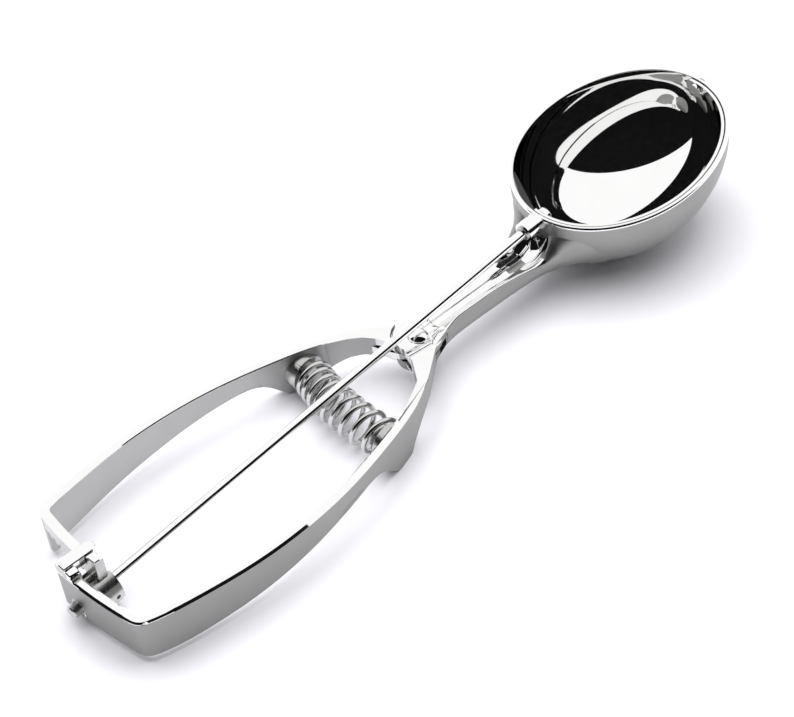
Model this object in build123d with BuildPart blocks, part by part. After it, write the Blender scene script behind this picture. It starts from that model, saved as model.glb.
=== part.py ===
from build123d import *
from math import acos, atan, cos, degrees, pi, radians, sin, sqrt, tan
import os

os.makedirs("parts", exist_ok=True)

# Working axes: +X runs along the spindle from the butt to the bowl tip, +Z points out of the
# bowl mouth and +Y is the lever side. The origin is on the spindle at the bowl's middle.
# The finished parts are laid on the table at the end of the file.

# Bowl
bowl_heel = 30.8
bowl_tip = 33.0
bowl_half = 24.3
bowl_wall = 1.1
bowl_sink = 0.8
rim_rise = 2.1

heel_x = -bowl_heel - bowl_wall

# Lever pivot, end wall and rack, all centred on the pivot
pivot_x = -76.9
pivot_r = 1.5
head_r = 2.75
head_z = -5.2
head_rise = 1.7
hub_r = 6.3
recess_r = 7.0
wall_out = 113.4
wall_t = 2.8
wall_gap = 3.4
rack_t = 2.6
wall_in = wall_out - wall_t
rack_out = wall_in - wall_gap
rack_in = rack_out - rack_t

# Spindle, its bearings and the pinion
spindle_r = 1.235
run_gap = 0.05
stub_r = 1.75
stub_len = 2.3
pitch_r = 4.6
tooth_count = 12
addendum = 0.55
dedendum = 0.65
backlash = 0.12
pressure = radians(20)
pin_r = 0.6
pinion_front = pivot_x - rack_in + 1.1
pinion_back = pivot_x - wall_in + 0.4
pin_x = pinion_front - 1.8
washer_t = 0.3
washer_r = 3.8
rear_bush_r = 2.4
front_bush_r = 2.0
boss_r = 2.7
boss_len = 5.1
boss_back = heel_x - boss_len

# Ends and corners of the wall and the rack, slot and tongue of the hinge
wall_end = 4.9
rack_end = -1.9
corner_y = 19.3
corner_out = 4.0
corner_in = 1.6
slot_r = 7.0
slot_front = pivot_x + 5.6
slot_top = -6.3
slot_bottom = -8.9
tongue_r = 5.2
tongue_gap = 0.3

# Handle arms
arm_wall = 2.4
arm_ref = -120.0
arm_top = 0.92
arm_fall = 0.129
arm_back = pivot_x - 1.033 * wall_out
throat_x = pivot_x + 8.9
arm_line = [
    (arm_back, 18.2),
    (pivot_x - 0.949 * wall_out, 22.1),
    (pivot_x - 0.839 * wall_out, 24.6),
    (pivot_x - 0.715 * wall_out, 26.3),
    (pivot_x - 0.583 * wall_out, 26.6),
    (pivot_x - 0.424 * wall_out, 24.8),
    (pivot_x - 0.283 * wall_out, 21.3),
    (pivot_x - 0.160 * wall_out, 17.0),
    (pivot_x - 8.1, 11.8),
    (pivot_x, 6.3),
    (pivot_x + 7.9, 4.1),
]

# Table plane: it touches the bowl, and the spring lobes stand on it
table_slope = 0.1098
lobe_back = -105.0
lobe_front = -99.6

# Guide bridge and end stop over the rack
bridge_lo = 1.5
bridge_hi = 5.1
bridge_lift = 0.4
bridge_t = 2.7
bridge_front = pivot_x - rack_in + 1.3
foot_flare = 2.4
stop_gap = 0.3

# Spring
spring_z = -8.0
fixed_face = -15.3
fixed_face_x = -104.5
lever_face = 14.5
lever_face_x = -101.9
wire_r = 0.7
coil_r = 4.9
coil_turns = 9.0
coil_pack = 0.36
coil_bow = 1.5
seat_r = 5.1
peg_r = 3.3
peg_len = 3.6

# Scraper
scraper_gap = 0.3
scraper_t = 0.8
scraper_top = 1.8
scraper_mid = 6.6
scraper_end = 2.4
scraper_hub = 2.8
collar_r = 2.2
collar_len = 1.5
tip_pin_r = 0.9
pin_head_r = 1.6
tip_bush_r = 1.7
tip_pin_end = bowl_tip + bowl_wall + 2.5


def top_z(x, rise=0.0):
    """height of the arms' top plane"""
    return arm_top - arm_fall * (x - arm_ref) + rise


def table_z(x):
    """height of the table plane, which touches the bowl's heel side"""
    reach = table_slope * (bowl_heel + bowl_wall)
    return -bowl_sink - sqrt((bowl_half + bowl_wall) ** 2 + reach**2) - table_slope * x


def shifted(points, gap):
    """the arm line moved square to itself, toward the handle's middle"""
    moved = []
    for i, (x, y) in enumerate(points):
        x0, y0 = points[max(i - 1, 0)]
        x1, y1 = points[min(i + 1, len(points) - 1)]
        run = sqrt((x1 - x0) ** 2 + (y1 - y0) ** 2)
        moved.append((x + gap * (y1 - y0) / run, y - gap * (x1 - x0) / run))
    return moved


def sided(points, side):
    """the same points on the lever side (1) or on the fixed side (-1)"""
    return [(x, y * side) for x, y in points]


def across(x):
    """a plane square to the spindle at x, its own axes along Y and Z"""
    return Plane(origin=(x, 0, 0), x_dir=(0, 1, 0), z_dir=(1, 0, 0))


def bowl_arc(reach, half):
    """quarter of an ellipse from the spindle axis to the bowl's widest point"""
    return Bezier((reach, 0), (reach, half), (0, half), weights=(1, sqrt(0.5), 1))


def half_plan(outset):
    """half of the bowl's plan shape, -Y side, with its edge moved out"""
    with BuildSketch() as plan:
        with BuildLine():
            bowl_arc(bowl_tip + outset, -bowl_half - outset)
            bowl_arc(-bowl_heel - outset, -bowl_half - outset)
            Line((-bowl_heel - outset, 0), (bowl_tip + outset, 0))
        make_face()
    return plan.sketch


def full_plan(outset):
    """the bowl's plan shape with its edge moved out"""
    with BuildSketch() as plan:
        with BuildLine():
            for half in (-bowl_half - outset, bowl_half + outset):
                bowl_arc(bowl_tip + outset, half)
                bowl_arc(-bowl_heel - outset, half)
        make_face()
    return plan.sketch


def bowl_body(outset, sink=0.0):
    """the bowl's filled shape with its surface moved out and its round part lowered"""
    with BuildPart() as body:
        with BuildSketch(Plane.XY.offset(-sink)):
            add(half_plan(outset))
        revolve(axis=Axis((0, 0, -sink), (1, 0, 0)), revolution_arc=180)
        with BuildSketch(Plane.XY.offset(-sink)):
            add(full_plan(outset))
        extrude(amount=rim_rise + sink)
    return body.part


def rod(radius, x_lo, x_hi):
    """a cylinder on the spindle axis"""
    with BuildPart() as body:
        with BuildSketch(across(x_lo)):
            Circle(radius)
        extrude(amount=x_hi - x_lo)
    return body.part


def disc(radius):
    """a tall disc about the pivot"""
    with BuildPart() as body:
        with BuildSketch(Plane.XY.offset(-20)):
            with Locations((pivot_x, 0)):
                Circle(radius)
        extrude(amount=40)
    return body.part


def arc_bar(r_in, r_out, y_lo, y_hi):
    """a tall bar that follows a circle about the pivot between two values of y"""
    with BuildPart() as body:
        with BuildSketch(Plane.XY.offset(-20)):
            with Locations((pivot_x, 0)):
                Circle(r_out)
                Circle(r_in, mode=Mode.SUBTRACT)
            with Locations((pivot_x - r_in, (y_lo + y_hi) / 2)):
                Rectangle(30, y_hi - y_lo, mode=Mode.INTERSECT)
        extrude(amount=40)
    return body.part


def half_loop(points, side):
    """the tall space between the spindle and one side of the arm line"""
    edge = sided(points, side)
    with BuildPart() as body:
        with BuildSketch(Plane.XY.offset(-20)):
            with BuildLine():
                Spline(*edge)
                Polyline(edge[-1], (edge[-1][0], 0), (edge[0][0], 0), edge[0])
            make_face()
        extrude(amount=40)
    return body.part


def loop_space(radius, side):
    """the tall space inside one arm and its end bar"""
    with BuildPart() as body:
        add(half_loop(shifted(arm_line, arm_wall), side))
        add(disc(radius), mode=Mode.INTERSECT)
    return body.part


def arm_and_end(r_in, r_out, side, y_near):
    """one arm and the bar across its end, with a rounded corner between them"""
    with BuildPart() as body:
        add(half_loop(arm_line, side))
        add(disc(r_out), mode=Mode.INTERSECT)
        add(loop_space(r_in, side), mode=Mode.SUBTRACT)
        outside = (pivot_x - r_out - 4, side * 24, 0)
        fillet(body.edges().sort_by_distance(outside)[0], corner_out)
        inside = (pivot_x - r_in + 1.9, side * 20, 0)
        fillet(body.edges().sort_by_distance(inside)[0], corner_in)
        with BuildSketch(Plane.XY.offset(-20)):
            with Locations((pivot_x - wall_out, side * (y_near - 10) / 2)):
                Rectangle(80, y_near + 10)
        extrude(amount=40, mode=Mode.SUBTRACT)
    return body.part


def post(x, y, radius, z_lo, z_hi):
    """an upright cylinder"""
    with BuildPart() as body:
        with BuildSketch(Plane.XY.offset(z_lo)):
            with Locations((x, y)):
                Circle(radius)
        extrude(amount=z_hi - z_lo)
    return body.part


def trough_loft(stations):
    """a loft through round-bottomed sections given as x, half width, top and bottom"""
    with BuildPart() as body:
        for x, half, top, bottom in stations:
            with BuildSketch(across(x)):
                with BuildLine():
                    Polyline((-half, bottom + half), (-half, top), (half, top), (half, bottom + half))
                    ThreePointArc((half, bottom + half), (0, bottom), (-half, bottom + half))
                make_face()
        loft()
    return body.part


bowl_outer = bowl_body(bowl_wall, bowl_sink)

# Side shape shared by both arms: flat sloping top, thin middle, lobe at the spring, deep throat.
with BuildPart() as arm_side:
    with BuildSketch(Plane.XZ):
        with BuildLine():
            Polyline((arm_back, -1.4), (arm_back, top_z(arm_back)), (throat_x, top_z(throat_x)))
            Line((throat_x, top_z(throat_x)), (throat_x, -8.0))
            Spline(
                (arm_back, -1.4),
                (arm_back + 7, -3.3),
                (-177, -4.7),
                (-160, -5.6),
                (-140, -5.6),
                (-121, -5.3),
                (-114.6, -6.3),
                (-110.8, -9.0),
                (-107.8, -12.6),
                (lobe_back, table_z(lobe_back)),
            )
            Line((lobe_back, table_z(lobe_back)), (lobe_front, table_z(lobe_front)))
            Spline(
                (lobe_front, table_z(lobe_front)),
                (-97.0, -13.0),
                (-92.0, -10.4),
                (-84.0, -9.9),
                (-78.0, -9.6),
                (throat_x, -8.0),
            )
        make_face()
    extrude(amount=40, both=True)

# Sections of the shank, and of the channel sunk into its top: x, half width, top, bottom.
shank_outer = trough_loft(
    [
        (-84.0, 5.9, -5.0, -11.9),
        (-78.0, 5.9, -4.6, -12.1),
        (-72.0, 4.8, -4.4, -12.7),
        (-66.0, 4.0, -3.8, -12.9),
        (-59.0, 4.3, -4.3, -13.4),
        (-52.0, 4.7, -4.8, -14.1),
        (-45.0, 5.4, -5.8, -14.6),
        (heel_x - 6.1, 6.4, -6.8, -15.3),
        (heel_x + 1.9, 8.8, -6.8, -17.0),
        (heel_x + 7.9, 11.6, -5.5, -19.4),
        (heel_x + 13.9, 13.0, -5.0, -21.4),
    ]
)
heel_flare = trough_loft(
    [
        (heel_x - 5.9, 6.1, -7.2, -15.0),
        (heel_x - 3.9, 6.8, -6.6, -15.4),
        (heel_x - 1.9, 7.5, -5.9, -15.8),
        (heel_x, 8.4, -5.1, -16.2),
        (heel_x + 1.9, 9.4, -4.2, -16.6),
        (heel_x + 3.9, 10.6, -3.4, -17.2),
        (heel_x + 5.9, 11.0, -3.0, -17.8),
    ]
)
channel = trough_loft(
    [
        (-80.0, 2.9, 1.0, -4.4),
        (-76.9, 3.3, 1.0, -5.3),
        (-72.0, 3.0, 1.0, -6.0),
        (-66.0, 2.95, 1.0, -6.6),
        (-59.0, 3.2, 1.0, -7.7),
        (-52.0, 3.7, 1.0, -8.8),
        (-45.0, 4.3, 1.0, -10.3),
        (heel_x - 6.1, 5.1, 1.0, -11.8),
        (heel_x - 2.5, 4.9, 1.0, -10.7),
        (heel_x - 0.3, 3.8, 1.0, -7.8),
    ]
)

with BuildPart() as shank_bounds:
    add(disc(hub_r))
    with BuildSketch(Plane.XY.offset(-30)):
        with Locations((pivot_x + 50, 0)):
            Rectangle(100, 60)
    extrude(amount=40)
with BuildPart() as shank:
    add(shank_outer)
    add(heel_flare)
    add(shank_bounds.part, mode=Mode.INTERSECT)

with BuildPart() as bowl:
    add(bowl_outer)
    add(bowl_body(0), mode=Mode.SUBTRACT)
    add(rod(front_bush_r, 2 * heel_x, 0), mode=Mode.SUBTRACT)
    add(rod(tip_bush_r, 0, 2 * bowl_tip), mode=Mode.SUBTRACT)

# Fixed arm, end wall and shank in one piece. The throat is a round hub about the pivot with a
# level slot for the lever's tongue, and the slot breaks out through the hub's sides.
throat = [(-91.0, -14.6), (-84.6, -5.6), (-83.0, -1.0), (pivot_x, 0), (-69.0, 0), (-69.0, -4.1)]
shoulder = [(pivot_x, -6.3), (-85.0, -11.8)]
tongue_space = [(-100, -4.6), (pivot_x, -4.6), (pivot_x, 30), (-100, 30)]
with BuildPart() as handle_frame:
    add(arm_and_end(wall_in, wall_out, -1, 0))
    add(arc_bar(wall_in, wall_out, -5, wall_end))
    with BuildSketch(Plane.XY.offset(-20)):
        with BuildLine():
            Polyline(*throat, *shoulder, close=True)
        make_face()
    extrude(amount=40)
    with BuildSketch(Plane.XY.offset(slot_top)):
        with Locations((pivot_x, 0)):
            Circle(hub_r)
    extrude(amount=20)
    add(arm_side.part, mode=Mode.INTERSECT)
    add(shank.part)
    add(channel, mode=Mode.SUBTRACT)
    with BuildSketch(Plane.XY.offset(slot_bottom)):
        with Locations((pivot_x, 0)):
            Circle(slot_r)
        with Locations((slot_front + 10, 0)):
            Rectangle(20, 40, mode=Mode.SUBTRACT)
        with BuildLine():
            Polyline(*tongue_space, close=True)
        make_face()
    extrude(amount=slot_top - slot_bottom, mode=Mode.SUBTRACT)
    add(post(pivot_x, 0, pivot_r, -20, 5), mode=Mode.SUBTRACT)
    add(post(pivot_x, 0, head_r + 0.5, head_z, 5), mode=Mode.SUBTRACT)
    add(rod(rear_bush_r, arm_back, pivot_x - rack_out), mode=Mode.SUBTRACT)
    add(bowl_outer, mode=Mode.SUBTRACT)

# Tube brazed to the bowl's heel: it carries the spindle's front bush over the channel.
with BuildPart() as heel_boss:
    add(rod(boss_r, boss_back, heel_x + 0.25))
    add(rod(front_bush_r, 2 * heel_x, 0), mode=Mode.SUBTRACT)
    add(bowl_outer, mode=Mode.SUBTRACT)

# Guide bridge: a foot on the wall's free end and a plate that reaches over the rack.
bridge_mid = (bridge_lo + bridge_hi) / 2
bridge_half = (bridge_hi - bridge_lo) / 2
slope = atan(arm_fall)
top_plane = Plane(origin=(arm_ref, 0, arm_top), x_dir=(1, 0, -arm_fall), z_dir=(arm_fall, 0, 1))
plate_back = (pivot_x - wall_out - 0.5 - arm_ref) / cos(slope)
plate_front = (bridge_front - arm_ref) / cos(slope) - bridge_half
foot_front = (pivot_x - wall_in - arm_ref) / cos(slope)
foot_plane = top_plane.shift_origin(top_plane.from_local_coords((plate_back, 0, 0)))
with BuildPart() as guide_bridge:
    with BuildSketch(top_plane.offset(bridge_lift)):
        with Locations(((plate_back + plate_front) / 2, bridge_mid)):
            Rectangle(plate_front - plate_back, 2 * bridge_half)
        with Locations((plate_front, bridge_mid)):
            Circle(bridge_half)
    extrude(amount=bridge_t)
    with BuildSketch(Plane(foot_plane.origin, x_dir=(0, 1, 0), z_dir=top_plane.x_dir)):
        with BuildLine():
            Polyline((bridge_lo, foot_flare), (bridge_lo, foot_flare + 0.1), (wall_end, foot_flare + 0.1))
            Polyline((wall_end, foot_flare + 0.1), (wall_end, 0), (bridge_lo - foot_flare, 0))
            RadiusArc((bridge_lo - foot_flare, 0), (bridge_lo, foot_flare), foot_flare)
        make_face()
    extrude(amount=foot_front - plate_back)
    add(disc(wall_out), mode=Mode.INTERSECT)

with BuildPart() as pivot_rivet:
    add(post(pivot_x, 0, pivot_r, -12.5, head_z))
    with BuildSketch(Plane.XZ):
        with BuildLine():
            Line((pivot_x, head_z), (pivot_x, head_z + head_rise))
            ThreePointArc(
                (pivot_x, head_z + head_rise),
                (pivot_x + 0.66 * head_r, head_z + 0.72 * head_rise),
                (pivot_x + head_r, head_z),
            )
            Line((pivot_x + head_r, head_z), (pivot_x, head_z))
        make_face()
    revolve(axis=Axis((pivot_x, 0, 0), (0, 0, 1)))

# Lever: the far arm with its corner, and a level tongue that turns on the pivot rivet. The web
# between them is full height outside the hub's recess.
web = [(-95.0, 16.0), (-95.0, 14.2), (-90.2, 11.7), (-87.2, 9.4), (-85.2, 6.8), (-84.1, 4.0), (-83.6, 1.5)]
tongue = [(-75.0, 4.98), (-83.0, 8.8), (-86.0, 8.0), (-85.0, 4.5), (-83.4, 0.6), (-80.6, -3.2)]
tongue_z = slot_bottom + tongue_gap
tongue_t = slot_top - slot_bottom - 2 * tongue_gap
with BuildPart() as lever_arm:
    add(arm_and_end(rack_in, rack_out, 1, corner_y))
    with BuildSketch(Plane.XY.offset(-20)):
        with BuildLine():
            Polyline(*web, (pivot_x, 0), (pivot_x, 4), (-84, 9), close=True)
        make_face()
    extrude(amount=40)
    add(arm_side.part, mode=Mode.INTERSECT)
    add(disc(recess_r), mode=Mode.SUBTRACT)
    with BuildSketch(Plane.XY.offset(-20)):
        with Locations((pivot_x + 10, 10)):
            Rectangle(20, 20)
    extrude(amount=40, mode=Mode.SUBTRACT)
    with BuildSketch(Plane.XY.offset(tongue_z)):
        with Locations((pivot_x, 0)):
            Circle(tongue_r)
        with BuildLine():
            Polyline(*tongue, close=True)
        make_face()
    extrude(amount=tongue_t)
    add(post(pivot_x, 0, pivot_r + run_gap, -20, 5), mode=Mode.SUBTRACT)

# Rack: radial teeth under a bar that follows the pivot circle. The pinion's teeth are cut only
# where the rack reaches, and the rest of its rim is plain.
rack_mid = (rack_in + rack_out) / 2
tooth_turn = 2 * pi / tooth_count
rack_pitch = tooth_turn * pitch_r
rack_turn = rack_pitch / rack_mid
half_tooth = (rack_pitch / 2 - backlash) / 2
rack_root = pitch_r + dedendum
rack_teeth = 8
with BuildPart() as rack_bar:
    add(arc_bar(rack_in, rack_out, rack_end, corner_y))
    add(arm_side.part, mode=Mode.INTERSECT)
    with BuildSketch(Plane.XY.offset(-20)):
        with Locations((pivot_x - rack_in, 10)):
            Rectangle(40, 60)
    extrude(amount=20 + rack_root, mode=Mode.SUBTRACT)
    for k in range(rack_teeth):
        a = k * rack_turn
        radial = (-cos(a), sin(a), 0)
        start = (pivot_x - rack_in * cos(a), rack_in * sin(a), 0)
        with BuildSketch(Plane(origin=start, x_dir=(sin(a), cos(a), 0), z_dir=radial)):
            tip_half = half_tooth - addendum * tan(pressure)
            root_half = half_tooth + (dedendum + 0.2) * tan(pressure)
            Polygon(
                (-root_half, -rack_root - 0.2),
                (root_half, -rack_root - 0.2),
                (tip_half, addendum - pitch_r),
                (-tip_half, addendum - pitch_r),
                align=None,
            )
        extrude(amount=rack_out - rack_in)

# End stop: a block on the rack's free end that meets the bridge at rest.
with BuildPart() as end_stop:
    add(arc_bar(rack_in, rack_out, rack_end, bridge_lo - stop_gap))
    with BuildSketch(top_plane):
        with Locations((pivot_x - rack_mid - arm_ref, 0)):
            Rectangle(20, 10)
    extrude(amount=bridge_lift + bridge_t, mode=Mode.INTERSECT)


def space_half(radius):
    """half angle of the gap between two pinion teeth at a radius"""
    base_r = pitch_r * cos(pressure)
    angle = acos(min(1.0, base_r / radius))
    thick = half_tooth / pitch_r + tan(pressure) - pressure
    return pi / tooth_count - thick + tan(angle) - angle


tip_r = pitch_r + addendum
stub_end = pivot_x - wall_out - stub_len
rod_back = stub_end + 3.1
flank = [pitch_r - dedendum, pitch_r * cos(pressure), pitch_r, tip_r, tip_r + 0.5]
space_count = 9
with BuildPart() as pinion:
    with BuildSketch(across(pinion_back)):
        Circle(tip_r)
        for k in range(space_count):
            mid = pi / 2 - k * tooth_turn
            right = [(r * cos(mid - space_half(r)), r * sin(mid - space_half(r))) for r in flank]
            left = [(r * cos(mid + space_half(r)), r * sin(mid + space_half(r))) for r in flank]
            Polygon(*right, *reversed(left), align=None, mode=Mode.SUBTRACT)
    extrude(amount=pinion_front - pinion_back)
    with BuildSketch(across(stub_end)):
        Circle(stub_r)
    extrude(amount=pinion_back - stub_end)
    chamfer(pinion.faces().sort_by(Axis.X)[0].edges(), 0.3)
    with BuildSketch(across(rod_back)):
        Circle(spindle_r)
    extrude(amount=20, mode=Mode.SUBTRACT)
    with BuildSketch(Plane.XZ.offset(-2 * tip_r)):
        with Locations((pin_x, 0)):
            Circle(pin_r)
    extrude(amount=4 * tip_r, mode=Mode.SUBTRACT)

# Cross pin: its +Y end is short, because it passes under the rack as the pinion turns.
pin_short = pitch_r - addendum - stop_gap
with BuildPart() as pinion_pin:
    with BuildSketch(Plane.XZ.offset(-pin_short)):
        with Locations((pin_x, 0)):
            Circle(pin_r)
    extrude(amount=pin_short + pitch_r)

with BuildPart() as spindle_rod:
    add(rod(spindle_r, rod_back, 1.8 - bowl_heel))
    add(pinion_pin.part, mode=Mode.SUBTRACT)

with BuildPart() as thrust_washer:
    with BuildSketch(across(pinion_back - washer_t)):
        Circle(washer_r)
        Circle(stub_r + run_gap, mode=Mode.SUBTRACT)
    extrude(amount=washer_t)

with BuildPart() as rear_bush:
    with BuildSketch(across(pivot_x - wall_out)):
        Circle(rear_bush_r)
        Circle(stub_r + run_gap, mode=Mode.SUBTRACT)
    extrude(amount=wall_out - wall_in)

with BuildPart() as front_bush:
    with BuildSketch(across(boss_back - 0.5)):
        Circle(front_bush_r)
        Circle(spindle_r + run_gap, mode=Mode.SUBTRACT)
    extrude(amount=0.5 - boss_back - bowl_heel)

# Spring seats: wedges that square up the sloping arm faces, each with a peg in the coil.
def spring_seat(side, face_x, face_y):
    """wedge and peg on one arm"""
    face = Plane(origin=(face_x, face_y, spring_z), z_dir=(0, side, 0))
    with BuildPart() as seat:
        with BuildSketch(face):
            Circle(seat_r)
        extrude(amount=8)
        add(half_loop(shifted(arm_line, arm_wall), side), mode=Mode.INTERSECT)
        with BuildSketch(face):
            Circle(peg_r)
        extrude(amount=-peg_len)
        chamfer(seat.faces().sort_by(Axis.Y)[0 if side > 0 else -1].edges(), 0.6)
    return seat.part


def coil_point(turn):
    """point on the wire's centre line: coils closer at the lever end, bowed toward the butt"""
    reach = lever_face - fixed_face - 2 * wire_r
    share = turn / coil_turns
    share = share * (1 + coil_pack - coil_pack * share)
    a = 2 * pi * turn
    x = fixed_face_x + (lever_face_x - fixed_face_x) * share - 4 * coil_bow * share * (1 - share)
    return (x + coil_r * cos(a), fixed_face + wire_r + reach * share, spring_z + coil_r * sin(a))


steps = int(coil_turns * 12)
with BuildPart() as spring:
    with BuildLine() as wire:
        Spline(*[coil_point(coil_turns * i / steps) for i in range(steps + 1)])
    with BuildSketch(Plane(origin=wire.line @ 0, z_dir=wire.line % 0)):
        Circle(wire_r)
    sweep(is_frenet=True)

# Scraper: a band that follows the inside of the bowl from heel to tip on the fixed side.
band_back = -bowl_heel - 5
band_front = bowl_tip + 5
with BuildPart() as band_shape:
    with BuildSketch(Plane.XZ):
        with BuildLine():
            Polyline((band_back, -scraper_end), (band_back, scraper_top), (band_front, scraper_top))
            Polyline((band_front, scraper_top), (band_front, -scraper_end), (bowl_tip - 5, -scraper_end))
            Spline((bowl_tip - 5, -scraper_end), (0, -scraper_mid), (5 - bowl_heel, -scraper_end))
            Line((5 - bowl_heel, -scraper_end), (band_back, -scraper_end))
        make_face()
    extrude(amount=40)
with BuildPart() as scraper:
    add(band_shape.part)
    with BuildSketch(across(band_back)):
        Circle(scraper_hub)
    extrude(amount=band_front - band_back)
    add(bowl_body(-scraper_gap), mode=Mode.INTERSECT)
    add(bowl_body(-scraper_gap - scraper_t), mode=Mode.SUBTRACT)
    with BuildSketch(Plane.XY.offset(scraper_top)):
        Rectangle(3 * bowl_tip, 3 * bowl_half)
    extrude(amount=10, mode=Mode.SUBTRACT)
    add(rod(spindle_r, band_back, 0), mode=Mode.SUBTRACT)
    add(rod(tip_pin_r, 0, band_front), mode=Mode.SUBTRACT)

hub_in = -bowl_heel + scraper_gap + scraper_t
with BuildPart() as scraper_collar:
    with BuildSketch(across(hub_in)):
        Circle(collar_r)
        Circle(spindle_r, mode=Mode.SUBTRACT)
    extrude(amount=collar_len)
    chamfer(scraper_collar.faces().sort_by(Axis.X)[-1].edges(), 0.25)
    add(scraper.part, mode=Mode.SUBTRACT)

tip_in = bowl_tip - scraper_gap - scraper_t
with BuildPart() as tip_pin:
    add(rod(pin_head_r, tip_in - 1.0, tip_in))
    add(scraper.part, mode=Mode.SUBTRACT)
    add(rod(tip_pin_r, tip_in - 1.0, tip_pin_end))
    chamfer(tip_pin.faces().sort_by(Axis.X)[-1].edges(), 0.2)

with BuildPart() as tip_bush:
    with BuildSketch(across(bowl_tip)):
        Circle(tip_bush_r)
        Circle(tip_pin_r + run_gap, mode=Mode.SUBTRACT)
    extrude(amount=bowl_wall + 0.4)

# Lay the scoop on the table and put the origin under the middle of its length.
nodes = {
    "bowl": bowl.part,
    "handle_frame": handle_frame.part,
    "heel_boss": heel_boss.part,
    "guide_bridge": guide_bridge.part,
    "pivot_rivet": pivot_rivet.part,
    "lever_arm": lever_arm.part,
    "rack_bar": rack_bar.part,
    "end_stop": end_stop.part,
    "spring": spring.part,
    "spring_seat_fixed": spring_seat(-1, fixed_face_x, fixed_face),
    "spring_seat_lever": spring_seat(1, lever_face_x, lever_face),
    "spindle_rod": spindle_rod.part,
    "pinion": pinion.part,
    "pinion_pin": pinion_pin.part,
    "thrust_washer": thrust_washer.part,
    "rear_bush": rear_bush.part,
    "front_bush": front_bush.part,
    "tip_bush": tip_bush.part,
    "scraper": scraper.part,
    "scraper_collar": scraper_collar.part,
    "tip_pin": tip_pin.part,
}
tilt = Rot(0, -degrees(atan(table_slope)), 0)
boxes = [(tilt * shape).bounding_box() for shape in nodes.values()]
x_lo = min(box.min.X for box in boxes)
x_hi = max(box.max.X for box in boxes)
drop = Pos(-(x_lo + x_hi) / 2, 0, -min(box.min.Z for box in boxes))
for name, shape in nodes.items():
    part = drop * tilt * shape
    part.label = name
    export_step(part, f"parts/{name}.step")
    print(name, round(part.volume, 1), len(part.solids()))
print("placed by", drop.position, "tilt", round(degrees(atan(table_slope)), 3))
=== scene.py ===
import bpy
import bmesh
import numpy as np
from math import atan, cos, pi, radians, sin
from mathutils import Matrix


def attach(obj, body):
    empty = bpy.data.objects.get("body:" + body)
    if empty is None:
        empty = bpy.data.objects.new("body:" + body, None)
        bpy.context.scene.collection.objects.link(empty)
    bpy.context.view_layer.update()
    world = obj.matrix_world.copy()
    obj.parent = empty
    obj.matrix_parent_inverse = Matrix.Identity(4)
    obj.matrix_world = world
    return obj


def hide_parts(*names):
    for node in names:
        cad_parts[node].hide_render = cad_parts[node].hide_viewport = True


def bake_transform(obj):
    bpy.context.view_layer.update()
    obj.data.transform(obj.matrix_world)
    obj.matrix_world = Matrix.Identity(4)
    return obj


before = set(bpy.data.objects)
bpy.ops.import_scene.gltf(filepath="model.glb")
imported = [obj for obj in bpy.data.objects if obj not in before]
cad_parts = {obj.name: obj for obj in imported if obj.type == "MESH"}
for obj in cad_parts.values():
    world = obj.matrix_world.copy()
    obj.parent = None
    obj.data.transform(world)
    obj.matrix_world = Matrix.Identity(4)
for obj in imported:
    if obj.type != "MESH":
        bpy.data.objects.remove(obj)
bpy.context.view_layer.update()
print("frame loaded")

# The scoop is shaped in its own working frame in mm: +X along the spindle to the bowl tip, +Y to the
# lever, +Z out of the bowl's mouth. layDown turns such points into metres as the scoop lies.
layTilt = atan(0.1098)
layShift = (77.575, 26.2824)

# welding distances in metres, and the angles in degrees below which faces are flat and above which
# edges are sharp
meshCare = {"mergeGrid": 1e-7, "mergeCad": 2e-6, "flat": 0.4, "sharp": 32.0}
# segments and profile of an eased edge
easeLook = {"arc": (3, 0.5), "chamfer": (5, 0.25)}


def layDown(points):
    # turn about Y by the tilt, shift along X and Z, mm to metres
    p = np.asarray(points, float)
    x = p[..., 0] * cos(layTilt) - p[..., 2] * sin(layTilt) + layShift[0]
    z = p[..., 0] * sin(layTilt) + p[..., 2] * cos(layTilt) + layShift[1]
    return np.stack([x, p[..., 1], z], axis=-1) / 1000


def gridFaces(rows, columns, wrapColumns):
    # quads between neighbouring rows and columns of a grid, as one index array
    across = columns if wrapColumns else columns - 1
    i, j = np.meshgrid(np.arange(rows - 1), np.arange(across), indexing="ij")
    k = (j + 1) % columns
    here, above = i * columns, (i + 1) * columns
    return np.stack([here + j, here + k, above + k, above + j], axis=-1).reshape(-1, 4)


def addGrid(name, points, wrapColumns=True, flip=False):
    # a mesh from a rows x columns x 3 array; rows that shrink to a point are merged into a pole
    rows, columns = points.shape[:2]
    faces = gridFaces(rows, columns, wrapColumns)
    if flip:
        faces = faces[:, ::-1]
    mesh = bpy.data.meshes.new(name)
    mesh.from_pydata(points.reshape(-1, 3).tolist(), [], faces.tolist())
    work = bmesh.new()
    work.from_mesh(mesh)
    bmesh.ops.remove_doubles(work, verts=work.verts, dist=meshCare["mergeGrid"])
    work.to_mesh(mesh)
    work.free()
    mesh.shade_smooth()
    piece = bpy.data.objects.new(name, mesh)
    bpy.context.scene.collection.objects.link(piece)
    return piece


def finish(piece, body, slotName, coats, *nodes):
    # coats, body, record slot and the CAD nodes that the piece stands for; the record slot is not used
    for coat in coats:
        piece.data.materials.append(coat)
    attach(piece, body)
    if nodes:
        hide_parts(*nodes)
    return piece


# upward part of the normal that makes a face a top, half width in metres of the strip along the spindle
# whose inward faces are polished too, and the least upward part for those
polish = {"top": 0.6, "strip": 0.0062, "lowest": -0.2}


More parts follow.
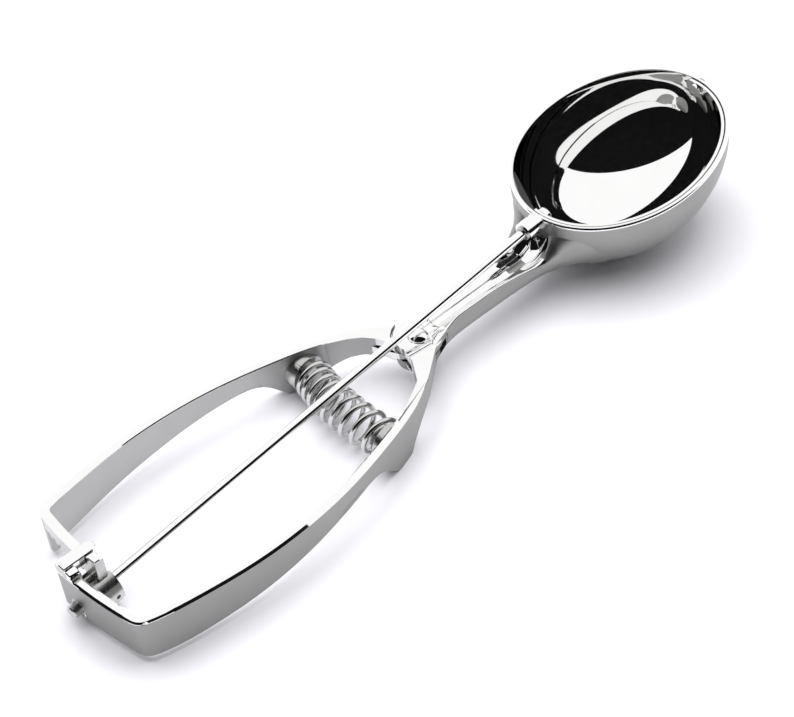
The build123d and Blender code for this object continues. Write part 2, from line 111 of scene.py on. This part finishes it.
def polishTops(mesh):
    # second coat on the faces that look up, and on those near the spindle that look toward it
    count = len(mesh.polygons)
    normals, centres = np.empty(count * 3), np.empty(count * 3)
    mesh.polygons.foreach_get("normal", normals)
    mesh.polygons.foreach_get("center", centres)
    normals, centres = normals.reshape(-1, 3), centres.reshape(-1, 3)
    across, up = normals[:, 1], normals[:, 2]
    inward = (np.abs(centres[:, 1]) < polish["strip"]) & (across * centres[:, 1] < 0)
    inward = inward & (up > polish["lowest"])
    mesh.polygons.foreach_set("material_index", ((up > polish["top"]) | inward).astype(int))


def markTopEdges(mesh, back, front, fade):
    # bevel weight on the edges between top and side faces from x back to x front, fading out at both
    work = bmesh.new()
    work.from_mesh(mesh)
    weight = work.edges.layers.float.new("bevel_weight_edge")
    for edge in work.edges:
        tops = [face.normal.z > polish["top"] for face in edge.link_faces]
        reach = [vert.co.x for vert in edge.verts]
        if sum(tops) == 1 and len(tops) == 2 and min(reach) > back and max(reach) < front:
            edge[weight] = min(1, (min(reach) - back) / fade, (front - max(reach)) / fade)
    work.to_mesh(mesh)
    work.free()


def dressedCopy(node, name, edge, twoCoats=False, longEdges=None):
    # a merged copy of a CAD node's mesh, flat areas joined up, with its edges eased: all sharp ones by a
    # small arc, or with longEdges (back, front, fade) only the long top ones, by a flatter chamfer
    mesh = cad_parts[node].data.copy()
    mesh.name = name
    mesh.materials.clear()
    work = bmesh.new()
    work.from_mesh(mesh)
    bmesh.ops.remove_doubles(work, verts=work.verts, dist=meshCare["mergeCad"])
    bmesh.ops.dissolve_limit(work, angle_limit=radians(meshCare["flat"]), verts=work.verts, edges=work.edges)
    work.to_mesh(mesh)
    work.free()
    mesh.shade_smooth()
    mesh.set_sharp_from_angle(angle=radians(meshCare["sharp"]))
    if twoCoats:
        polishTops(mesh)
    if longEdges:
        markTopEdges(mesh, *longEdges)
    piece = bpy.data.objects.new(name, mesh)
    bpy.context.scene.collection.objects.link(piece)
    ease = piece.modifiers.new("easedEdges", "BEVEL")
    ease.width = edge / 1000
    ease.segments, ease.profile = easeLook["chamfer" if longEdges else "arc"]
    ease.limit_method = "WEIGHT" if longEdges else "ANGLE"
    ease.angle_limit = radians(meshCare["sharp"])
    ease.harden_normals = True
    ease.use_clamp_overlap = not longEdges
    ease.loop_slide = not longEdges
    ease.material = 1 if twoCoats else -1
    even = piece.modifiers.new("evenShading", "WEIGHTED_NORMAL")
    even.keep_sharp = True
    return piece


# ---- finishes ----
# grain holds the noise scales along x, y and z, haze the scale of the cloudier noise
steelLook = {
    "mirror": {"color": (0.93, 0.93, 0.925), "rough": 0.015, "roughSpread": 0.03, "bump": 0.015,
               "grain": (90, 900, 900), "haze": 140},
    # the next two coats are satin steel in roughness and grain, with base colours darkened as painted shade
    # that stands in for dark reflections
    "brushedPaintedShade": {"color": (0.34, 0.34, 0.33), "rough": 0.38, "roughSpread": 0.12, "bump": 0.12,
                "grain": (160, 2600, 2600), "haze": 60},
    "satinPaintedShade": {"color": (0.50, 0.50, 0.49), "rough": 0.42, "roughSpread": 0.12, "bump": 0.12,
              "grain": (160, 2600, 2600), "haze": 60},
    "drawn": {"color": (0.92, 0.92, 0.915), "rough": 0.025, "roughSpread": 0.05, "bump": 0.02,
              "grain": (60, 3200, 3200), "haze": 200},
    "wire": {"color": (0.66, 0.66, 0.65), "rough": 0.05, "roughSpread": 0.10, "bump": 0.05,
             "grain": (1200, 1200, 1200), "haze": 260},
    "turned": {"color": (0.55, 0.55, 0.54), "rough": 0.20, "roughSpread": 0.08, "bump": 0.08,
               "grain": (3200, 300, 300), "haze": 200},
    "cut": {"color": (0.50, 0.50, 0.49), "rough": 0.20, "roughSpread": 0.14, "bump": 0.12,
            "grain": (1800, 900, 2200), "haze": 300},
}
grainLook = {"detail": 5.0, "roughness": 0.6, "hazeDetail": 3.0, "low": 0.08, "high": 0.5, "worn": 0.93,
             "depth": 0.00002}


def steel(name, look):
    # metal whose roughness and tiny bumps follow drawn grain, with cloudier haze and wear in its tint
    material = bpy.data.materials.new(name)
    material.use_nodes = True
    nodes = material.node_tree.nodes
    link = material.node_tree.links.new
    shader = nodes["Principled BSDF"]
    shader.inputs["Metallic"].default_value = 1.0
    place = nodes.new("ShaderNodeTexCoord")
    stretch = nodes.new("ShaderNodeMapping")
    stretch.inputs["Scale"].default_value = look["grain"]
    link(place.outputs["Object"], stretch.inputs["Vector"])
    grain = nodes.new("ShaderNodeTexNoise")
    grain.inputs["Scale"].default_value = 1.0
    grain.inputs["Detail"].default_value = grainLook["detail"]
    grain.inputs["Roughness"].default_value = grainLook["roughness"]
    link(stretch.outputs["Vector"], grain.inputs["Vector"])
    haze = nodes.new("ShaderNodeTexNoise")
    haze.inputs["Scale"].default_value = look["haze"]
    haze.inputs["Detail"].default_value = grainLook["hazeDetail"]
    link(place.outputs["Object"], haze.inputs["Vector"])
    blendTwo = nodes.new("ShaderNodeMath")
    blendTwo.operation = "MULTIPLY"
    link(grain.outputs["Fac"], blendTwo.inputs[0])
    link(haze.outputs["Fac"], blendTwo.inputs[1])
    roughness = nodes.new("ShaderNodeMapRange")
    roughness.inputs["From Min"].default_value = grainLook["low"]
    roughness.inputs["From Max"].default_value = grainLook["high"]
    roughness.inputs["To Min"].default_value = look["rough"]
    roughness.inputs["To Max"].default_value = look["rough"] + look["roughSpread"]
    link(blendTwo.outputs["Value"], roughness.inputs["Value"])
    link(roughness.outputs["Result"], shader.inputs["Roughness"])
    tint = nodes.new("ShaderNodeMix")
    tint.data_type = "RGBA"
    tint.inputs["A"].default_value = (*look["color"], 1)
    tint.inputs["B"].default_value = (*[v * grainLook["worn"] for v in look["color"]], 1)
    link(haze.outputs["Fac"], tint.inputs["Factor"])
    link(tint.outputs["Result"], shader.inputs["Base Color"])
    bump = nodes.new("ShaderNodeBump")
    bump.inputs["Strength"].default_value = look["bump"]
    bump.inputs["Distance"].default_value = grainLook["depth"]
    link(grain.outputs["Fac"], bump.inputs["Height"])
    link(bump.outputs["Normal"], shader.inputs["Normal"])
    return material


finishes = {name: steel(name + "Steel", look) for name, look in steelLook.items()}
print("finishes ready")

# ---- bowl ----
bowlShape = {"heel": 30.8, "tip": 33.0, "half": 24.3, "wall": 1.1, "sink": 0.8, "rise": 2.1, "lip": 0.25,
             "shoulder": 0.75, "around": 288, "down": 56, "overLip": 6, "overShoulder": 9}


def bowlSurface(shape):
    # rows run from the inner floor pole up to the rim, over its rounded lip and down the outside to
    # the outer pole; each row is an ellipse whose long reach differs toward heel and tip; a profile
    # point holds its share of the full reach, its offset out of the inner wall and its height
    turn = np.linspace(0, 2 * pi, shape["around"], endpoint=False)
    fall = np.linspace(0, pi / 2, shape["down"])
    lip, shoulder = shape["lip"], shape["shoulder"]
    inner = [(sin(a), 0.0, -shape["half"] * cos(a)) for a in fall]
    over = [(1.0, lip + lip * cos(a), shape["rise"] - lip + lip * sin(a))
            for a in np.linspace(pi, pi / 2, shape["overLip"])]
    back = [(1.0, shape["wall"] - shoulder + shoulder * cos(a), shape["rise"] - shoulder + shoulder * sin(a))
            for a in np.linspace(pi / 2, 0, shape["overShoulder"])]
    outHalf = shape["half"] + shape["wall"]
    outer = [(sin(a), shape["wall"], -shape["sink"] - outHalf * cos(a)) for a in fall[::-1]]
    profile = np.array(inner + over + back + outer)
    k, outset, z = profile[:, 0:1], profile[:, 1:2], profile[:, 2:3]
    reach = np.where(np.cos(turn) > 0, shape["tip"], shape["heel"])[None, :]
    x = k * (reach + outset) * np.cos(turn)[None, :]
    y = k * (shape["half"] + outset) * np.sin(turn)[None, :]
    return np.stack([x, y, z + 0 * x], axis=-1)


bowlShell = addGrid("bowlShell", layDown(bowlSurface(bowlShape)), flip=True)
bowlFaces = len(bowlShell.data.polygons)
outerFaces = bowlShape["around"] * bowlShape["down"]
# the outside takes the second coat, whose darkened base colour is painted shade
bowlCoat = (np.arange(bowlFaces) >= bowlFaces - outerFaces).astype(int)
bowlShell.data.polygons.foreach_set("material_index", bowlCoat)
finish(bowlShell, "base", "bowl_polish", [finishes["mirror"], finishes["brushedPaintedShade"]], "bowl")
print("bowl made")

# ---- spring ----
springShape = {"z": -8.0, "fixedY": -15.3, "leverY": 14.5, "fixedX": -104.5, "leverX": -101.9, "wire": 0.7,
               "coil": 4.9, "turns": 9.0, "pack": 0.36, "bow": 1.5, "around": 18, "perTurn": 40,
               "endRound": 0.8, "endRise": 0.06, "grip": 0.5}


def springSurface(shape):
    # a round wire carried along a helix about Y: the angle grows evenly while the way along Y runs ahead
    # by pack, so coils are closer at the lever end; the middle bows along X; the wire's ends are closed
    steps = int(shape["turns"] * shape["perTurn"])
    s = np.linspace(0, 1, steps + 1)
    share = s * (1 + shape["pack"] - shape["pack"] * s)
    reach = shape["leverY"] - shape["fixedY"] - 2 * shape["wire"]
    a = 2 * pi * shape["turns"] * s
    bow = 4 * shape["bow"] * share * (1 - share)
    middleX = shape["fixedX"] + (shape["leverX"] - shape["fixedX"]) * share - bow
    centre = np.stack([middleX + shape["coil"] * np.cos(a), shape["fixedY"] + shape["wire"] + reach * share,
                       shape["z"] + shape["coil"] * np.sin(a)], axis=-1)
    along = np.gradient(centre, axis=0)
    along /= np.linalg.norm(along, axis=1)[:, None]
    side = np.stack([np.cos(a), 0 * a, np.sin(a)], axis=-1)
    up = np.cross(along, side)
    up /= np.linalg.norm(up, axis=1)[:, None]
    side = np.cross(up, along)
    turn = np.linspace(0, 2 * pi, shape["around"], endpoint=False)[None, :, None]
    ring = np.cos(turn) * side[:, None, :] + np.sin(turn) * up[:, None, :]
    body = centre[:, None, :] + shape["wire"] * ring
    small, rise = shape["endRound"] * shape["wire"], shape["endRise"]
    start = [centre[0] + 0 * body[0], centre[0] + small * ring[0] - rise * along[0]]
    tail = [centre[-1] + small * ring[-1] + rise * along[-1], centre[-1] + 0 * body[-1]]
    return np.concatenate([np.array(start), body, np.array(tail)])


springWire = addGrid("springWire", layDown(springSurface(springShape)))
springWire.data.materials.append(finishes["wire"])
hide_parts("spring")
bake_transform(springWire)
print("spring wound")

# ---- spindle rod ----
rodShape = {"radius": 1.235, "from": -189.5, "to": -29.0, "chamfer": 0.2, "around": 72, "steps": 24,
            "sharp": 40.0}


def turned(stations, around):
    # a lathe about the spindle axis: each x, radius station becomes a ring of points
    a = np.linspace(0, 2 * pi, around, endpoint=False)
    s = np.array(stations, float)
    x = s[:, 0:1] + 0 * a[None, :]
    return np.stack([x, s[:, 1:2] * np.cos(a)[None, :], s[:, 1:2] * np.sin(a)[None, :]], axis=-1)


def rodStations(shape):
    # a plain rod with chamfered ends, closed at both
    r, c = shape["radius"], shape["chamfer"]
    middle = [(x, r) for x in np.linspace(shape["from"] + c, shape["to"] - c, shape["steps"])]
    return [(shape["from"], 0), (shape["from"], r - c), *middle, (shape["to"], r - c), (shape["to"], 0)]


spindleRod = addGrid("spindleRod", layDown(turned(rodStations(rodShape), rodShape["around"])))
spindleRod.data.set_sharp_from_angle(angle=radians(rodShape["sharp"]))
finish(spindleRod, "spindle", "spindle_polish", [finishes["drawn"]], "spindle_rod")

# ---- handle frame: arm, end wall and hub from the CAD piece, with a smooth trough-shaped shank ----
# outer holds x, half width, top and bottom; channel holds x, half width and floor
shankShape = {
    "outer": [(-72.0, 4.8, -4.4, -12.7), (-66.0, 4.1, -3.8, -12.9), (-59.0, 4.3, -4.3, -13.4),
              (-52.0, 4.7, -4.8, -14.1), (-45.0, 5.4, -5.8, -14.6), (-38.0, 6.5, -6.8, -15.3),
              (-35.8, 7.1, -6.4, -15.6), (-33.8, 7.8, -5.1, -16.0), (-31.9, 8.65, -3.4, -16.4),
              (-30.0, 10.0, -1.7, -16.8), (-28.0, 12.1, -0.6, -17.3), (-26.0, 14.1, -0.2, -17.9),
              (-24.0, 15.6, -0.1, -18.6), (-22.0, 17.0, 0.0, -19.1), (-18.0, 18.8, 0.0, -19.6)],
    "channel": [(-72.0, 2.9, -6.0), (-64.0, 3.1, -6.9), (-54.0, 3.7, -8.4), (-45.0, 4.5, -9.9),
                (-37.5, 5.0, -10.8), (-33.6, 4.7, -9.6), (-31.2, 3.4, -6.2), (-30.4, 3.0, -3.8),
                (-18.0, 3.0, -2.0)],
    "from": -71.6, "to": -19.0, "cut": -70.9, "lip": 0.45, "inset": 0.02, "flareLip": 3.0,
    "flareFrom": -41.0, "flareTo": -31.0, "rows": 160, "side": 14, "round": 26, "rim": 7, "inside": 40,
    "polishedRows": 108, "edge": 0.6, "eased": (-0.2, -0.012, 0.002), "clear": 0.1}


def smoothThrough(at, xs, ys):
    # a monotone cubic through stations: harmonic mean slopes, so nothing overshoots
    run, rise = np.diff(xs), np.diff(ys) / np.diff(xs)
    product, total = rise[1:] * rise[:-1], rise[1:] + rise[:-1]
    inner = np.where(product > 0, 2 * product / np.where(product > 0, total, 1), 0)
    slope = np.concatenate([rise[:1], inner, rise[-1:]])
    k = np.clip(np.searchsorted(xs, at) - 1, 0, len(run) - 1)
    t, h = (at - xs[k]) / run[k], run[k]
    start = ys[k] * (2 * t**3 - 3 * t**2 + 1) + slope[k] * h * (t**3 - 2 * t**2 + t)
    return start + ys[k + 1] * (3 * t**2 - 2 * t**3) + slope[k + 1] * h * (t**3 - t**2)


def intoWall(points, shape):
    # points inside the bowl are pushed straight out from its middle to the middle of its wall
    mid, smallest = shape["wall"] / 2, 0.05
    x, y, z = points[..., 0], points[..., 1], points[..., 2] + shape["sink"]
    reach = np.where(x > 0, shape["tip"], shape["heel"]) + mid
    half = shape["half"] + mid
    low = np.minimum(z, 0)
    size = np.sqrt((x / reach) ** 2 + (y / half) ** 2 + (low / half) ** 2)
    grow = np.where(size < 1, 1 / np.maximum(size, smallest), 1)
    deep = np.where(z < 0, z * grow, z)
    return np.stack([x * grow, y * grow, deep - shape["sink"]], axis=-1)


def shankSurface(shape):
    # rows along the spindle; each row runs up one outer side, over the rim, round the channel's U,
    # over the other rim, down and back under the round belly; corners are eased by the lip radius, which
    # grows along the flare, and the end that reaches the bowl is laid into its wall
    outer, channel = np.array(shape["outer"]), np.array(shape["channel"])
    x = np.linspace(shape["from"], shape["to"], shape["rows"])
    half, top, bottom = [smoothThrough(x, outer[:, 0], outer[:, k])[:, None] for k in (1, 2, 3)]
    wide, floor = [smoothThrough(x, channel[:, 0], channel[:, k])[:, None] for k in (1, 2)]
    half, top = half - shape["inset"], top - shape["inset"]
    floor = np.minimum(floor, top - shape["inset"])
    flare = np.clip((x - shape["flareFrom"]) / (shape["flareTo"] - shape["flareFrom"]), 0, 1)[:, None]
    small = shape["lip"]
    lip = small + shape["flareLip"] * flare**2 * (3 - 2 * flare)
    lip = np.minimum(lip, half - wide - small - shape["clear"])
    belly = np.minimum(bottom + half, top - lip - shape["clear"])
    a = np.linspace(0, pi / 2, shape["round"])[None, :]
    underY, underZ = half * np.sin(a), belly - half * np.cos(a)
    rise = np.linspace(0, 1, shape["side"] + 1)[None, 1:]
    sideY, sideZ = half + 0 * rise, belly + (top - lip - belly) * rise
    turn = np.linspace(0, pi / 2, shape["rim"])[None, 1:]
    overY, overZ = half - lip + lip * np.cos(turn), top - lip + lip * np.sin(turn)
    centre = floor + wide
    straight = np.maximum(top - centre, 0)
    lowAngle = np.arcsin(np.clip((centre - top) / wide, 0, 1))
    arc = wide * (pi / 2 - lowAngle)
    s = np.linspace(0, 1, shape["inside"])[None, :] * (straight + arc)
    around = lowAngle + np.maximum(s - straight, 0) / wide
    channelY = wide * np.cos(around)
    channelZ = np.where(s < straight, top - s, centre - wide * np.sin(around))
    near = np.clip(1 - (top - channelZ) / small, 0, 1)
    channelY = np.minimum(channelY + small * (1 - np.sqrt(1 - near**2)), half - lip)
    y = np.concatenate([underY, sideY, overY, channelY], axis=1)
    z = np.concatenate([underZ, sideZ, overZ, channelZ], axis=1)
    y = np.concatenate([y, -y[:, -2:0:-1]], axis=1)
    z = np.concatenate([z, z[:, -2:0:-1]], axis=1)
    rows = np.stack([x[:, None] + 0 * y, y, z], axis=-1)
    rows = intoWall(rows, bowlShape)
    ends = [np.stack([x[k] + 0 * y[k], 0 * y[k], (bottom[k] + floor[k]) / 2 + 0 * y[k]], axis=-1)
            for k in (0, -1)]
    return np.concatenate([ends[0][None], rows, intoWall(ends[1], bowlShape)[None]])


def cutFront(mesh, x):
    # everything past a plane square to the spindle goes, and the cut is closed
    work = bmesh.new()
    work.from_mesh(mesh)
    square = (cos(layTilt), 0, sin(layTilt))
    geom = list(work.verts) + list(work.edges) + list(work.faces)
    cut = bmesh.ops.bisect_plane(work, geom=geom, dist=meshCare["mergeGrid"], plane_no=square,
                                 plane_co=tuple(layDown([x, 0, 0])), clear_outer=True)
    rim = [item for item in cut["geom_cut"] if isinstance(item, bmesh.types.BMEdge)]
    bmesh.ops.holes_fill(work, edges=rim, sides=0)
    work.to_mesh(mesh)
    work.free()


def joinMesh(piece, extra):
    # the second object's mesh goes into the first, each keeping its own coats
    work = bmesh.new()
    work.from_mesh(piece.data)
    work.from_mesh(extra.data)
    work.to_mesh(piece.data)
    work.free()
    bpy.data.objects.remove(extra)


# faces that don't look up keep the first coat, whose darkened base colour is painted shade
handleFrame = dressedCopy("handle_frame", "handleFrame", shankShape["edge"], twoCoats=True,
                          longEdges=shankShape["eased"])
cutFront(handleFrame.data, shankShape["cut"])
shankPoints = shankSurface(shankShape)
shank = addGrid("shank", layDown(shankPoints), flip=True)
columns = shankPoints.shape[1]
outside = shankShape["round"] + shankShape["side"] + 1
row, column = np.divmod(np.arange(len(shank.data.polygons)), columns)
# the outer side columns keep the first coat, whose darkened base colour is painted shade; those between take
# the mirror coat
brushedPaintedShade = np.where(row < shankShape["polishedRows"], outside, outside + shankShape["rim"])
polished = (column >= brushedPaintedShade) & (column < columns - brushedPaintedShade)
shank.data.polygons.foreach_set("material_index", polished.astype(int))
joinMesh(handleFrame, shank)
finish(handleFrame, "base", "frame_satin", [finishes["brushedPaintedShade"], finishes["mirror"]], "handle_frame")
print("handle frame made")

# ---- pieces that keep their CAD shape, with eased edges ----
# node, name, width of the eased edge in mm, body, record slot and coats
eased = [
    ("heel_boss", "heelBoss", 0.15, "base", "frame_satin", ["drawn"]),
    ("guide_bridge", "guideBridge", 0.30, "base", "frame_satin", ["cut", "mirror"]),
    ("pivot_rivet", "pivotRivet", 0.10, "base", "spindle_polish", ["drawn"]),
    ("rear_bush", "rearBush", 0.08, "base", "frame_satin", ["cut"]),
    ("front_bush", "frontBush", 0.08, "base", "frame_satin", ["cut"]),
    ("tip_bush", "tipBush", 0.08, "base", "bowl_polish", ["cut"]),
    ("spring_seat_fixed", "springSeatFixed", 0.12, "base", "spring_steel", ["turned"]),
    ("spring_seat_lever", "springSeatLever", 0.12, "lever", "spring_steel", ["turned"]),
    # the lever arm's sides take the first coat, whose darkened base colour is painted shade
    ("lever_arm", "leverArm", 0.32, "lever", "lever_satin", ["satinPaintedShade", "mirror"]),
    ("rack_bar", "rackBar", 0.08, "lever", "lever_satin", ["cut", "mirror"]),
    ("end_stop", "endStop", 0.25, "lever", "lever_satin", ["cut", "mirror"]),
    ("pinion", "pinionDrum", 0.12, "spindle", "spindle_polish", ["turned"]),
    ("pinion_pin", "pinionPin", 0.05, "spindle", "spindle_polish", ["cut"]),
    ("thrust_washer", "thrustWasher", 0.04, "spindle", "spindle_polish", ["cut"]),
    ("scraper", "scraperBand", 0.15, "spindle", "scraper_polish", ["mirror"]),
    ("scraper_collar", "scraperCollar", 0.10, "spindle", "scraper_polish", ["drawn"]),
    ("tip_pin", "tipPin", 0.10, "spindle", "scraper_polish", ["drawn"]),
]
# back and front end of the chamfered top edges and their fading length, in metres
longEdges = {"lever_arm": (-0.0985, -0.012, 0.012), "guide_bridge": (-0.2, 0.2, 0.01),
             "end_stop": (-0.2, 0.2, 0.01)}
for node, name, edge, body, slotName, coats in eased:
    piece = dressedCopy(node, name, edge, twoCoats=len(coats) > 1, longEdges=longEdges.get(node))
    finish(piece, body, slotName, [finishes[coat] for coat in coats], node)
print("CAD pieces dressed")

# ---- studio ----
studio = {"wall": 1.08, "cardAzimuth": 40.5, "cardLean": 10.5, "cardAway": 2.5, "cardColor": 0.012,
          "cardSteps": (46, 180), "lampAzimuth": 120.0, "lampHeight": 80.0, "lampAway": 0.9,
          "lampSize": 1.1, "lampPower": 9.5}


def buildWorld(look):
    # plain white all round
    world = bpy.data.worlds.new("studioRoom")
    bpy.context.scene.world = world
    world.use_nodes = True
    shade = world.node_tree.nodes["Background"]
    shade.inputs["Color"].default_value = (1, 1, 1, 1)
    shade.inputs["Strength"].default_value = look["wall"]


def buildCard(look):
    # a dark half dome over one side of the table, cut off at the floor: points are the dome's radius
    # times its leaning axis turned out by a polar angle and round by a second one
    az, lean = radians(look["cardAzimuth"]), radians(look["cardLean"])
    axis = -np.array([cos(lean) * cos(az), cos(lean) * sin(az), sin(lean)])
    side = np.array([-sin(az), cos(az), 0.0])
    up = np.cross(axis, side)
    polarSteps, turnSteps = look["cardSteps"]
    polar = np.linspace(0, pi / 2, polarSteps)[:, None, None]
    turn = np.linspace(0, 2 * pi, turnSteps, endpoint=False)[None, :, None]
    ring = np.cos(turn) * side + np.sin(turn) * up
    card = addGrid("darkCard", look["cardAway"] * (np.cos(polar) * axis + np.sin(polar) * ring))
    work = bmesh.new()
    work.from_mesh(card.data)
    below = [face for face in work.faces if face.calc_center_median().z < 0.0]
    bmesh.ops.delete(work, geom=below, context="FACES")
    work.to_mesh(card.data)
    work.free()
    felt = bpy.data.materials.new("darkFelt")
    felt.use_nodes = True
    shader = felt.node_tree.nodes["Principled BSDF"]
    shader.inputs["Base Color"].default_value = (*[look["cardColor"]] * 3, 1)
    shader.inputs["Roughness"].default_value = 1.0
    shader.inputs["Specular IOR Level"].default_value = 0.0
    card.data.materials.append(felt)
    card.visible_camera = False


floorLook = {"half": 30.0, "paper": (0.945, 0.935, 0.985), "tooth": (0.96, 0.95, 0.995), "toothScale": 900,
             "rough": 0.9}


def buildFloor(look):
    # a large pale sheet with a faint paper tooth
    points = np.array([[[-1, -1, 0], [1, -1, 0]], [[-1, 1, 0], [1, 1, 0]]], float) * look["half"]
    floor = addGrid("floorSheet", points, wrapColumns=False)
    paper = bpy.data.materials.new("paperSheet")
    paper.use_nodes = True
    nodes = paper.node_tree.nodes
    link = paper.node_tree.links.new
    shader = nodes["Principled BSDF"]
    shader.inputs["Roughness"].default_value = look["rough"]
    shader.inputs["Specular IOR Level"].default_value = 0.0
    place = nodes.new("ShaderNodeTexCoord")
    tooth = nodes.new("ShaderNodeTexNoise")
    tooth.inputs["Scale"].default_value = look["toothScale"]
    link(place.outputs["Object"], tooth.inputs["Vector"])
    color = nodes.new("ShaderNodeMix")
    color.data_type = "RGBA"
    color.inputs["A"].default_value = (*look["paper"], 1)
    color.inputs["B"].default_value = (*look["tooth"], 1)
    link(tooth.outputs["Fac"], color.inputs["Factor"])
    link(color.outputs["Result"], shader.inputs["Base Color"])
    floor.data.materials.append(paper)


def buildLamp(look):
    # one soft square lamp aimed at the scoop's middle
    lampData = bpy.data.lights.new("softLamp", "AREA")
    lampData.size = look["lampSize"]
    lampData.energy = look["lampPower"]
    lamp = bpy.data.objects.new("softLamp", lampData)
    az, el = radians(look["lampAzimuth"]), radians(look["lampHeight"])
    away = look["lampAway"]
    lamp.location = (away * cos(el) * cos(az), away * cos(el) * sin(az), away * sin(el))
    lamp.rotation_euler = (pi / 2 - el, 0, az + pi / 2)
    lamp.visible_glossy = False
    bpy.context.scene.collection.objects.link(lamp)


buildWorld(studio)
buildCard(studio)
buildFloor(floorLook)
buildLamp(studio)

cameraView = {"place": (-0.32175, -0.317649, 0.456529), "turn": (45.1118, 0.8245, -45.657),
              "lens": 114.098, "sensor": 36}
cameraData = bpy.data.cameras.new("camera")
cameraData.lens = cameraView["lens"]
cameraData.sensor_width = cameraView["sensor"]
camera = bpy.data.objects.new("camera", cameraData)
camera.location = cameraView["place"]
camera.rotation_euler = [radians(v) for v in cameraView["turn"]]
bpy.context.scene.collection.objects.link(camera)
bpy.context.scene.camera = camera
bpy.context.scene.view_settings.view_transform = "Standard"
print("studio set")
